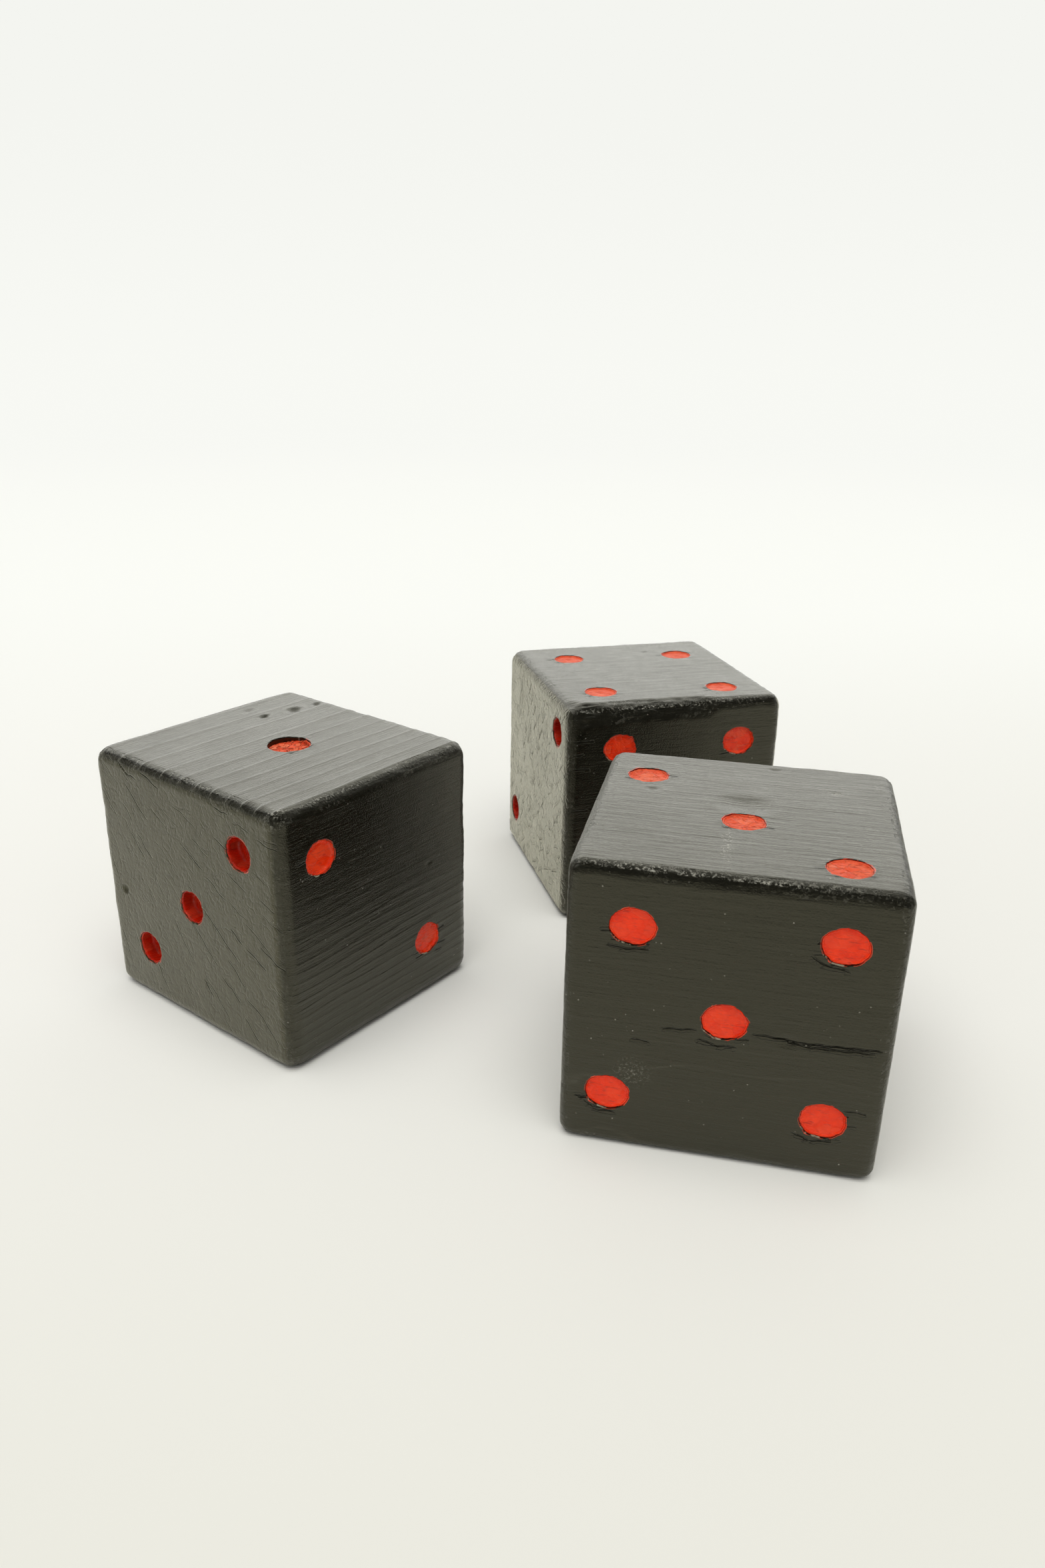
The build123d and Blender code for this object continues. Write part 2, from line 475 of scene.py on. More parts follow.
def torn_fibres(die, face):
    """Slits along the grain that the bit tore beside each pip: (points, depth)."""
    rng = np.random.default_rng(die.seed * 7 + sorted(FACES).index(face))
    slits = []
    for hole in die.holes[face]:
        for _ in range(3):
            side = rng.choice([-1, -1, 1])
            up = (1.4 * rng.random() ** 2 - 0.96) * hole.radius
            start = side * math.sqrt(hole.radius ** 2 - up**2)
            length, tilt = rng.uniform(1.0, 4.0), rng.normal(0, 0.25)
            points = [(start - side, up), (start + side * length / 2, up + tilt * 0.4)]
            points.append((start + side * length, up + tilt))
            slits.append(([hole.at + np.array(q) for q in points], rng.uniform(0.15, 0.55)))
    return slits


def rim_wobble(hole, angle, seed):
    """How far a hole's rim strays from a true circle, in millimetres."""
    key = hole.at[0] * 0.37 + hole.at[1] * 0.91
    ring = circle(angle, 1.0, key)
    slow, quick = noise(ring * 1.3, seed + 51), noise(ring * 4.0, seed + 52)
    ragged = 0.32 * slow + 0.24 * quick + 0.12 * noise(ring * 9.0, seed + 53)
    wider, taller = hole.oval
    return ragged + wider * np.cos(angle) ** 2 + taller * np.sin(angle) ** 2


def lifted_rims(die, face, flat):
    """Height of the lip that the bit pushed up round each pip."""
    height = np.zeros(len(flat))
    for hole in die.holes[face]:
        d = flat - hole.at
        away = np.hypot(*d.T) - hole.radius
        angle = np.arctan2(d[:, 1], d[:, 0])
        ring = circle(angle, 2.0, 3.0)
        lump = 0.5 + 0.9 * noise(ring + hole.at[0], die.seed)
        height += 0.09 * lump * bell(away - 0.5, 0.9)
    return height


def slow_waves(die, p):
    """The gentle unevenness of a hand-sanded block."""
    (long, high), (short, low) = WAVES
    return high * noise(p / long, die.seed + 1) + low * noise(p / short, die.seed + 2)


def on_box(die, face, flat):
    """Points of the sharp box, in the die's frame, for flat positions on a face."""
    right, up, out = FACES[face]
    return flat[:, :1] * right + flat[:, 1:2] * up + abs(die.half @ out) * out


def surface(die, face, flat, sink=0.0):
    """Points of the finished surface, in the die's frame, for flat positions on a face.
    sink takes them below the face, as down a hole. Also returns what the paint needs."""
    half, out = die.half, FACES[face][2]
    p = on_box(die, face, flat)
    radius = edge_radius(die, p)[:, None]
    inner = np.clip(p, radius - half, half - radius)
    normal = p - inner
    normal /= np.maximum(np.linalg.norm(normal, axis=1), 1e-9)[:, None]
    nearest, depth = cracks_on(die, face, flat, p)
    detail, total, strength = np.zeros(len(p)), np.zeros(len(p)), np.zeros(len(p))
    for other, (other_right, other_up, other_out) in FACES.items():
        share = np.clip(normal @ other_out, 0, 1) ** 4
        used = np.nonzero(share > 1e-3)[0]
        if not len(used):
            continue
        spot = p[used]
        place = np.stack([spot @ other_right, spot @ other_up], -1)
        grain = end_grain if other in END_GRAIN else long_grain
        local, strong = grain(die, other, spot)
        local = local + dented(die, other, place) + lifted_rims(die, other, place)
        detail[used] += share[used] * local
        strength[used] += share[used] * strong
        total += share
    height = slow_waves(die, p) + detail / total
    height -= GROOVE_DEPTH * depth * bell(nearest, GROOVE_WIDTH)
    edge = 1 - (normal @ out) ** 2
    seed = die.seed
    worn = fractal(p / 2.6, 2, seed + 41) - 0.25 + 0.4 * noise(p / 1.1, seed + 42)
    height += np.clip(edge * 2, 0, 1) * 0.11 * worn
    points = inner + normal * (radius + height[:, None])
    layers = {
        "edge": edge,
        "rings": ring_count(die, p),
        "ridge": strength / total,
        "crack_side": nearest,
        "crack_depth": depth,
        "scuff": scuff_amount(die, face, flat),
        "end": np.full(len(p), float(face in END_GRAIN)),
        "crackle": np.full(len(p), die.style["crackle"] * (face in END_GRAIN)),
    }
    return points - np.reshape(sink, (-1, 1)) * out, layers


# ======== meshes
def axis_lines(half, step):
    """Evenly spaced positions from -half to half."""
    count = int(round(2 * half / step))
    return np.linspace(-half, half, count + 1)


def face_net(die, face):
    """A face's vertices and quads before they take the wood's shape: flat positions, how far
    each lies below the face, how red and how frayed the paint there is, and the quads."""
    right, up, _ = FACES[face]
    half = die.half
    across = axis_lines(abs(half @ right), CROSS_STEP if face in END_GRAIN else GRAIN_STEP)
    upward = axis_lines(abs(half @ up), CROSS_STEP)
    columns, rows = len(across), len(upward)
    flat = [np.array((a, b)) for b in upward for a in across]
    sink, red, frayed = ([0.0] * len(flat) for _ in range(3))
    open_cells = np.ones((rows - 1, columns - 1), bool)
    quads = []
    for hole in die.holes[face]:
        reach = PATCH + max(0.0, hole.radius - 6.5)
        room = (abs(half @ axis) - abs(at) - 3 for axis, at in zip((right, up), hole.at))
        reach = min(reach, *room)
        reach = max(reach, hole.radius + 1.2)
        c0, c1 = (int(np.abs(across - hole.at[0] - s * reach).argmin()) for s in (-1, 1))
        r0, r1 = (int(np.abs(upward - hole.at[1] - s * reach).argmin()) for s in (-1, 1))
        open_cells[r0:r1, c0:c1] = False
        loop = [r0 * columns + c for c in range(c0, c1)]
        loop += [r * columns + c1 for r in range(r0, r1)]
        loop += [r1 * columns + c for c in range(c1, c0, -1)]
        loop += [r * columns + c0 for r in range(r1, r0, -1)]
        net_hole(die, face, hole, loop, flat, sink, red, frayed, quads)
    for r, c in zip(*np.nonzero(open_cells)):
        corner = r * columns + c
        quads.append((corner, corner + 1, corner + 1 + columns, corner + columns))
    return np.array(flat), np.array(sink), np.array(red), np.array(frayed), quads


def net_hole(die, face, hole, loop, flat, sink, red, frayed, quads):
    """Adds the rings of vertices from a loop of the face's net to a hole's rim, down its wall
    and across its floor."""
    outer = np.array([flat[i] for i in loop])
    arm = outer - hole.at
    angle = np.arctan2(arm[:, 1], arm[:, 0])
    unit = np.stack([np.cos(angle), np.sin(angle)], -1)
    radius = hole.radius + rim_wobble(hole, angle, die.seed)
    rim = hole.at + unit * (radius + 0.3)[:, None]
    spilt = noise(np.concatenate([unit * 2.3, np.full((len(unit), 1), hole.at[0])], 1), 77)
    lip = lip_depth(die, face, hole, angle)
    count = len(loop)
    torn = np.clip(np.cos(angle - FRAYED_SIDE) + 0.6 * noise(np.c_[unit * 2.9, angle * 0], 78), 0, 1)
    torn = torn * (face not in END_GRAIN)
    stops = []
    for k in range(1, PATCH_RINGS + 1):
        t = 1 - (1 - k / PATCH_RINGS) ** 1.7
        fringe = {PATCH_RINGS: spilt > -0.1, PATCH_RINGS - 1: spilt > 0.35}.get(k, np.zeros(count))
        fray = torn * {PATCH_RINGS: 1.0, PATCH_RINGS - 1: 0.8}.get(k, 0.0)
        stops.append((outer * (1 - t) + rim * t, 0.0, fringe * (lip < 0.7), fray))
    depth = hole.depth
    wall = [(0.1, 0.08), (0.02, 0.25), (0.0, 0.55)]
    wall += [(-0.02 * s, 0.55 + (depth - 0.55) * s) for s in (0.35, 0.7, 1.0)]
    for offset, down in wall:
        painted = np.clip((down + 0.25 - lip) / 0.3, 0, 1)
        fray = torn * (down < 0.5)
        stops.append((hole.at + unit * (radius + offset)[:, None], down, painted, fray))
    for share in (0.7, 0.35):
        ring = hole.at + unit * (radius * share)[:, None]
        stops.append((ring, depth, np.ones(count), torn * 0))
    last = list(loop)
    for ring, down, stain, fray in stops:
        first = len(flat)
        flat.extend(ring)
        sink.extend([down] * count)
        red.extend(stain * 1.0)
        frayed.extend(fray)
        fresh = list(range(first, first + count))
        for i in range(count):
            j = (i + 1) % count
            quads.append((last[i], last[j], fresh[j], fresh[i]))
        last = fresh
    centre = len(flat)
    flat.append(hole.at.copy())
    sink.append(depth)
    red.append(1.0)
    frayed.append(0.0)
    for i in range(count):
        quads.append((last[i], last[(i + 1) % count], centre))


def lip_depth(die, face, hole, angle):
    """Depth below the face of the enamel's upper edge, by angle round a hole."""
    style, seed = die.style, die.seed
    key = hole.at[0] * 0.61 + hole.at[1] * 0.23
    ring = circle(angle, 1.3, key)
    lip = style["lip"].get(face, LIP_BELOW)
    lip = lip * (1 + 0.9 * noise(ring, seed + 5) + 0.5 * noise(ring * 3.3, seed + 6))
    toward, deeper = style["bare"].get(face, (0.0, 0.0))
    lip = lip + deeper * np.clip(np.cos(angle - math.radians(toward)), 0, 1) ** 0.7
    floor = min(style["fill"].get(face, 9.0), hole.depth - SKIN_THICKNESS)
    return np.clip(lip, 0.1, floor - 0.3)


def scuff_amount(die, face, flat):
    """How scuffed the paint is at flat positions on a face."""
    amount = np.zeros(len(flat))
    for right, up, half_length, half_width in die.style["scuffs"].get(face, ()):
        d = ((flat[:, 0] - right) / half_length) ** 2 + ((flat[:, 1] - up) / half_width) ** 2
        amount = np.maximum(amount, np.exp(-d))
    return amount


def new_piece(name, die, points, polygons, layers, material, body):
    """A mesh object in the die's own frame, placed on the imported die, that rides on its body."""
    mesh = bpy.data.meshes.new(name)
    mesh.from_pydata((points * MM).tolist(), [], polygons)
    mesh.validate()
    for layer, values in layers.items():
        attribute = mesh.attributes.new(layer, "FLOAT", "POINT")
        attribute.data.foreach_set("value", np.asarray(values, np.float32))
    mesh.polygons.foreach_set("use_smooth", [True] * len(mesh.polygons))
    mesh.materials.append(material)
    piece = bpy.data.objects.new(name, mesh)
    bpy.context.scene.collection.objects.link(piece)
    turn = Matrix.Rotation(die.turn, 4, "Z")
    piece.matrix_world = Matrix.Translation(Vector(die.centre) * MM) @ turn
    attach(piece, body)
    return piece


def make_block(die, material):
    """The painted block of a die, welded from its six faces."""
    points, quads, corners = [], [], {}
    layers = {}
    half = die.half
    for face in FACES:
        flat, sink, red, frayed, net = face_net(die, face)
        shaped, fields = surface(die, face, flat, sink)
        fields["red"], fields["frayed"] = red, frayed
        right, up, _ = FACES[face]
        reach = np.array([abs(half @ right), abs(half @ up)])
        border = (np.abs(flat) > reach - 1e-6).any(1) & (sink == 0)
        number = np.empty(len(flat), int)
        kept = []
        for i, on_border in enumerate(border):
            key = tuple(np.round(shaped[i], 3)) if on_border else None
            if key in corners:
                number[i] = corners[key]
                continue
            number[i] = len(points) + len(kept)
            kept.append(i)
            if on_border:
                corners[key] = number[i]
        points.extend(shaped[kept])
        for layer, values in fields.items():
            layers.setdefault(layer, []).append(values[kept])
        quads.extend(tuple(int(number[i]) for i in quad) for quad in net)
    layers = {layer: np.concatenate(values) for layer, values in layers.items()}
    name = die.name
    piece = new_piece(f"{name}_wood", die, np.array(points), quads, layers, material, name)
    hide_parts(f"{name}_block")
    return piece


def skin_mesh(die, face, hole, index):
    """One enamel skin, a closed cup: points, polygons and how deep in its torn hollows each point
    lies, which paints shade there."""
    seed = die.seed + index * 13
    angle = np.linspace(0, 2 * math.pi, SKIN_SPOKES, endpoint=False)
    unit = np.stack([np.cos(angle), np.sin(angle)], -1)
    radius = hole.radius + rim_wobble(hole, angle, die.seed) - SKIN_GAP
    depth = hole.depth
    floor = min(die.style["fill"].get(face, depth), depth - SKIN_THICKNESS)
    lip = lip_depth(die, face, hole, angle)
    chew = die.style["chew"].get(face, 0.08)
    inner = radius - SKIN_THICKNESS
    bend = min(1.0, (floor - lip.max()) * 0.9)
    rings = []
    for share in (0.12, 0.25, 0.38, 0.5, 0.61, 0.71, 0.8, 0.88, 0.95, 1.0):
        rings.append(((inner - bend) * share, np.full_like(angle, floor), chew))
    for turn in (0.35, 0.7, 1.0):
        sweep = turn * math.pi / 2
        down = floor - bend * (1 - math.cos(sweep))
        rings.append((inner - bend + bend * math.sin(sweep), np.full_like(angle, down), chew * 0.5))
    start = floor - bend
    for share in (0.5, 0.85):
        rings.append((inner, start + (lip + 0.12 - start) * share, 0.05))
    rings += [
        (inner + 0.1, lip + 0.03, 0.0),
        (inner + 0.24, lip, 0.0),
        (radius, lip + 0.1, 0.0),
        (radius, np.full_like(angle, depth * 0.6) + lip * 0.3, 0.0),
        (radius - 0.05, np.full_like(angle, depth - SKIN_GAP), 0.0),
    ]
    flat, sink, low = [hole.at[None]], [np.array([floor + DIMPLE[face]])], [np.zeros(1)]
    for ring_radius, down, rough in rings:
        place = hole.at + unit * np.reshape(ring_radius, (-1, 1))
        lumps = np.concatenate([place / 1.5, np.full((len(place), 1), seed * 0.7)], 1)
        torn = np.concatenate([(place @ turned(0.6)[:2, :2]) / (0.9, 2.7), lumps[:, 2:]], 1)
        rise = 0.35 * noise(lumps, 91) + 0.75 * (1 - 2.6 * np.abs(noise(torn, 92)))
        from_middle = np.hypot(*(place - hole.at).T)
        dimple = DIMPLE[face] * bell(from_middle, 1.3)
        flat.append(place)
        sink.append(down - rough * rise + dimple)
        low.append(np.clip(-0.8 * rough * rise, 0, 1))
    flat.append(hole.at[None])
    sink.append(np.array([depth - SKIN_GAP]))
    flat, sink = np.concatenate(flat), np.concatenate(sink)
    level = smooth_base(die, face, flat)
    points = level - sink[:, None] * FACES[face][2]
    return points, cup_polygons(len(rings)), np.concatenate(low + [np.zeros(1)])


def smooth_base(die, face, flat):
    """The face without its grain, for things that sit in it."""
    p = on_box(die, face, flat)
    return p + slow_waves(die, p)[:, None] * FACES[face][2]


def cup_polygons(rings):
    """Polygons of a closed shape of that many rings between two middle points."""
    polygons = []
    last = 1 + rings * SKIN_SPOKES
    for i in range(SKIN_SPOKES):
        j = (i + 1) % SKIN_SPOKES
        polygons.append((0, 1 + i, 1 + j))
        for ring in range(rings - 1):
            a, b = 1 + ring * SKIN_SPOKES, 1 + (ring + 1) * SKIN_SPOKES
            polygons.append((a + i, b + i, b + j, a + j))
        a = 1 + (rings - 1) * SKIN_SPOKES
        polygons.append((a + i, last, a + j))
    return polygons


def make_skins(die, face, material):
    """The enamel in every hole of one face, as one piece of separate skins."""
    points, polygons, hollow = [], [], []
    for index, hole in enumerate(die.holes[face]):
        first = sum(len(part) for part in points)
        part, shape, low = skin_mesh(die, face, hole, index)
        points.append(part)
        polygons.extend(tuple(i + first for i in polygon) for polygon in shape)
        hollow.append(low)
    name, number = die.name, die.numbers[face]
    hollow = np.concatenate(hollow)
    layers = {
        "hollow": hollow,
        "end": np.full(len(hollow), float(face in END_GRAIN)),
        "faded_and_toplit": np.full(len(hollow), float(face == "+z")),
        "chewed": np.full(len(hollow), min(1.0, 1.5 * die.style["chew"].get(face, 0.08))),
    }
    piece = new_piece(
        f"{name}_enamel_{number}", die, np.concatenate(points), polygons, layers, material, name
    )
    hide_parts(f"{name}_pips_{number}")
    return piece


# ======== materials
# Colours are linear red, green and blue. A pair is mixed by a noise.
PAINT = {
    "black": ((0.0008, 0.0008, 0.0004, 1), (0.004, 0.0037, 0.002, 1)),
    "matt": ((0.006, 0.0055, 0.0025, 1), (0.045, 0.041, 0.018, 1)),  # on end grain
    "film": ((0.012, 0.0115, 0.007, 1), (0.03, 0.0285, 0.018, 1)),  # thin dust in patches
    "worn": (0.3, 0.29, 0.25, 1),
    "rubbed": (0.5, 0.49, 0.44, 1),
    "crest_highlight": (0.4, 0.39, 0.33, 1),
    "dust": (0.5, 0.48, 0.42, 1),
    "crack shade": (0.002, 0.002, 0.001, 1),
    "spilt enamel": (0.62, 0.03, 0.006, 1),
    "bare fibre": (0.26, 0.23, 0.17, 1),
    "highlight": (1.0, 0.96, 0.72, 1),
    "sheen": (0.95, 0.92, 0.74, 1),
}
ENAMEL = {
    "bright": ((0.88, 0.042, 0.006, 1), (0.76, 0.026, 0.003, 1)),
    "soaked_and_shaded": ((0.42, 0.008, 0.002, 1), (0.24, 0.006, 0.002, 1)),  # into end grain, and painted shade of its deep holes
    "faded_and_toplit": ((0.8, 0.12, 0.04, 1), (0.66, 0.045, 0.01, 1)),  # on top: faded, and paler as painted light from above
    # painted shade in the low spots of torn enamel
    "hollow": (0.09, 0.006, 0.002, 1),
    "flake": (0.8, 0.22, 0.1, 1),
    "flake gap shade": (0.12, 0.01, 0.004, 1),
    "thin": (0.3, 0.012, 0.004, 1),
}
RELIEF = (0.001, 0.8)  # depth in metres and strength of both materials' bumps


class Graph:
    """Short-hand for building a material's nodes."""

    def __init__(self, name="", world=None):
        self.owner = world or bpy.data.materials.new(name)
        self.owner.use_nodes = True
        self.tree = self.owner.node_tree
        self.tree.nodes.clear()

    def node(self, kind, inputs=None, **settings):
        made = self.tree.nodes.new("ShaderNode" + kind)
        for key, value in settings.items():
            setattr(made, key, value)
        for key, value in (inputs or {}).items():
            if isinstance(value, bpy.types.NodeSocket):
                self.tree.links.new(value, made.inputs[key])
            else:
                made.inputs[key].default_value = value
        return made

    def attribute(self, name):
        return self.node("Attribute", attribute_name=name).outputs["Fac"]

    def math(self, operation, a, b=0.0, clamp=False):
        return self.node("Math", {0: a, 1: b}, operation=operation, use_clamp=clamp).outputs[0]

    def times(self, a, b, clamp=False):
        return self.math("MULTIPLY", a, b, clamp)

    def plus(self, a, b, clamp=False):
        return self.math("ADD", a, b, clamp)

    def minus(self, a, b):
        return self.math("SUBTRACT", a, b)

    def power_of_e(self, value):
        return self.math("POWER", 2.718, value)

    def bell(self, value, width):
        """1 at 0, falling to almost nothing at twice the width."""
        share = self.math("DIVIDE", value, width)
        return self.power_of_e(self.times(self.times(share, share), -1.0))

    def vector(self, operation, a, b=(0.0, 0.0, 0.0)):
        output = "Value" if operation in ("DOT_PRODUCT", "LENGTH") else "Vector"
        return self.node("VectorMath", {0: a, 1: b}, operation=operation).outputs[output]

    def scaled(self, vector, scale):
        inputs = {0: vector, 3: scale}
        return self.node("VectorMath", inputs, operation="SCALE").outputs["Vector"]

    def remap(self, value, low, high, to_low=0.0, to_high=1.0):
        inputs = {"Value": value, 1: low, 2: high, 3: to_low, 4: to_high}
        return self.node("MapRange", inputs).outputs[0]

    def smooth(self, value, low, high):
        """0 at low, 1 at high, easing in and out. low may be the larger."""
        inputs = {"Value": value, 1: low, 2: high}
        return self.node("MapRange", inputs, interpolation_type="SMOOTHSTEP").outputs[0]

    def stretched(self, scale):
        """Object coordinates scaled by a different amount along each axis."""
        place = self.node("TexCoord").outputs["Object"]
        return self.node("Mapping", {"Vector": place, "Scale": scale}).outputs[0]

    def noise(self, vector, scale, detail=2.0, roughness=0.5):
        inputs = {"Vector": vector, "Scale": scale, "Detail": detail, "Roughness": roughness}
        return self.node("TexNoise", inputs).outputs[0]

    def mix(self, share, a, b):
        inputs = {0: share, 6: a, 7: b}
        return self.node("Mix", inputs, data_type="RGBA").outputs[2]

    def coated(self, colour, *coats):
        """A colour under coats, each (share, colour) and each over the one before."""
        for share, coat in coats:
            colour = self.mix(share, colour, coat)
        return colour

    def blend(self, share, a, b):
        return self.node("Mix", {0: share, 2: a, 3: b}, data_type="FLOAT").outputs[0]

    def bump(self, height, distance, strength=1.0, after=None):
        inputs = {"Height": height, "Distance": distance, "Strength": strength}
        if after is not None:
            inputs["Normal"] = after
        return self.node("Bump", inputs).outputs[0]

    def finish(self, **inputs):
        shader = self.node("BsdfPrincipled", {k.replace("_", " "): v for k, v in inputs.items()})
        output = self.node("OutputMaterial")
        self.tree.links.new(shader.outputs[0], output.inputs[0])
        return self.owner


def black_paint():
    """Black brushed paint over grain: worn grey at the edges, dusty, red where enamel spilt, with
    painted shade in its cracks and painted highlights on ring crests and on up-facing chips and
    scuffs.
    """
    g = Graph("black_paint")
    place = g.stretched((1, 1, 1))
    end, edge = g.attribute("end"), g.attribute("edge")
    grain = g.noise(g.stretched((90, 1300, 1300)), 1.0, 4.0, 0.62)
    leather = g.noise(place, 750, 3.0, 0.6)
    speckle = g.noise(place, 2100, 2.0, 0.6)
    patches = g.noise(place, 55, 3.0, 0.6)
    scuff_noise = g.noise(place, 1100, 4.0, 0.7)
    rims = g.smooth(edge, 0.04, 0.3)

    # growth rings: a narrow hard ridge at the start of each ring
    phase = g.math("FRACT", g.attribute("rings"))
    rise = g.smooth(phase, 0.0, 0.12)
    ridge = g.times(rise, g.power_of_e(g.times(phase, -5.0)))
    ridge = g.times(ridge, g.times(g.attribute("ridge"), 2.4))

    # cracks: a narrow groove, one side of which stands proud; the groove is painted dark as shade
    side = g.attribute("crack_side")
    groove = g.times(g.bell(side, 0.15), g.times(g.attribute("crack_depth"), 1.9))
    lip = g.times(g.bell(g.minus(side, 0.3), 0.12), g.attribute("crack_depth"))

    # crazing of the paint on the ends: lines between wavy cells, painted dark as shade
    warp = g.node("TexNoise", {"Vector": place, "Scale": 160.0, "Detail": 2.0}).outputs["Color"]
    bent = g.vector("ADD", place, g.scaled(warp, 0.006))
    bent = g.node("Mapping", {"Vector": bent, "Scale": (1.0, 1.0, 0.6)}).outputs[0]
    cells = g.node("TexVoronoi", {"Vector": bent, "Scale": 380.0}, feature="DISTANCE_TO_EDGE")
    crazed = g.times(g.smooth(cells.outputs[0], 0.12, 0.02), g.attribute("crackle"))
    crazed = g.times(crazed, g.remap(g.noise(place, 210, 2.0), 0.42, 0.58))

    worn = g.times(g.smooth(edge, 0.2, 0.5), g.remap(scuff_noise, 0.52, 0.66))
    worn = g.times(worn, g.remap(patches, 0.42, 0.6))
    rubbed = g.times(g.attribute("scuff"), g.remap(scuff_noise, 0.52, 0.64))
    worn = g.math("MAXIMUM", g.times(worn, 0.8), rubbed, clamp=True)
    # chips along both sides of the rounded edges, painted lighter where they face up, as painted light
    # from above
    brink = g.times(g.smooth(edge, 0.015, 0.06), g.smooth(edge, 0.4, 0.15))
    chips_lit_from_above = g.times(brink, g.remap(g.noise(place, 800, 3.0, 0.65), 0.53, 0.6))
    chips_lit_from_above = g.times(chips_lit_from_above, g.remap(patches, 0.4, 0.55))
    facing = g.node("SeparateXYZ", {0: g.node("TexCoord").outputs["Normal"]}).outputs["Z"]
    chips_lit_from_above = g.times(chips_lit_from_above, g.remap(facing, 0.5, 0.8, 0.3, 1.0))
    film = g.times(g.remap(speckle, 0.5, 0.75), 0.5)
    specks = g.node("TexVoronoi", {"Vector": place, "Scale": 420.0}, feature="F1").outputs[0]
    dust = g.times(g.remap(specks, 0.12, 0.06), g.remap(g.noise(place, 180), 0.55, 0.63))

    # rubbed scuffs are real wear, painted paler where they face up as painted light from above
    rubbed_lit_from_above = g.times(rubbed, g.remap(facing, 0.4, 0.9, 0.12, 0.7))
    # painted highlight: the crest of each ring ridge is painted lighter, as if it catches the light
    crest_highlight = g.times(g.smooth(phase, 0.02, 0.05), g.smooth(phase, 0.11, 0.06))
    crest_highlight = g.times(crest_highlight, g.times(g.attribute("ridge"), 16.0))
    crest_highlight = g.times(crest_highlight, g.remap(grain, 0.35, 0.6), clamp=True)
    ragged = g.plus(g.attribute("red"), g.times(scuff_noise, 0.6))
    frayed = g.plus(g.attribute("frayed"), scuff_noise)
    colour = g.mix(
        g.times(end, g.minus(1.0, rims)),
        g.mix(grain, *PAINT["black"]),
        g.mix(leather, *PAINT["matt"]),
    )
    colour = g.coated(
        colour,
        (g.times(worn, 0.4), PAINT["worn"]),
        (rubbed_lit_from_above, PAINT["rubbed"]),
        # painted highlight on the ring crests
        (g.times(crest_highlight, 0.22), PAINT["crest_highlight"]),
        # real chips, with painted light from above on the up-facing ones
        (g.times(chips_lit_from_above, 0.35), PAINT["worn"]),
        (film, g.mix(patches, *PAINT["film"])),
        (g.times(dust, 0.4), PAINT["dust"]),
        # painted shade in the crack grooves and the crazing lines
        (g.math("MAXIMUM", groove, crazed, clamp=True), PAINT["crack shade"]),
        (g.smooth(ragged, 0.95, 1.1), PAINT["spilt enamel"]),
        (g.smooth(frayed, 1.36, 1.5), PAINT["bare fibre"]),
    )

    rough = g.remap(patches, 0.3, 0.7, 0.17, 0.27)
    rough = g.plus(rough, g.times(end, 0.1))
    rough = g.plus(rough, g.times(worn, 0.25), clamp=True)

    height = g.blend(end, g.times(grain, 0.2), g.times(leather, 0.22))
    height = g.plus(height, g.times(speckle, 0.14))
    height = g.minus(height, g.times(chips_lit_from_above, 0.3))
    height = g.plus(height, g.times(lip, 0.18))
    height = g.minus(height, g.times(crazed, 0.25))
    height = g.plus(height, g.times(rims, g.times(scuff_noise, 0.35)))
    height = g.plus(height, ridge)
    height = g.minus(height, g.times(groove, 0.4))
    normal = g.bump(height, *RELIEF)
    return g.finish(
        Base_Color=colour,
        Roughness=rough,
        IOR=1.62,
        Specular_Tint=PAINT["highlight"],
        Normal=normal,
        Sheen_Weight=g.attribute("crackle"),
        Sheen_Roughness=0.4,
        Sheen_Tint=PAINT["sheen"],
    )


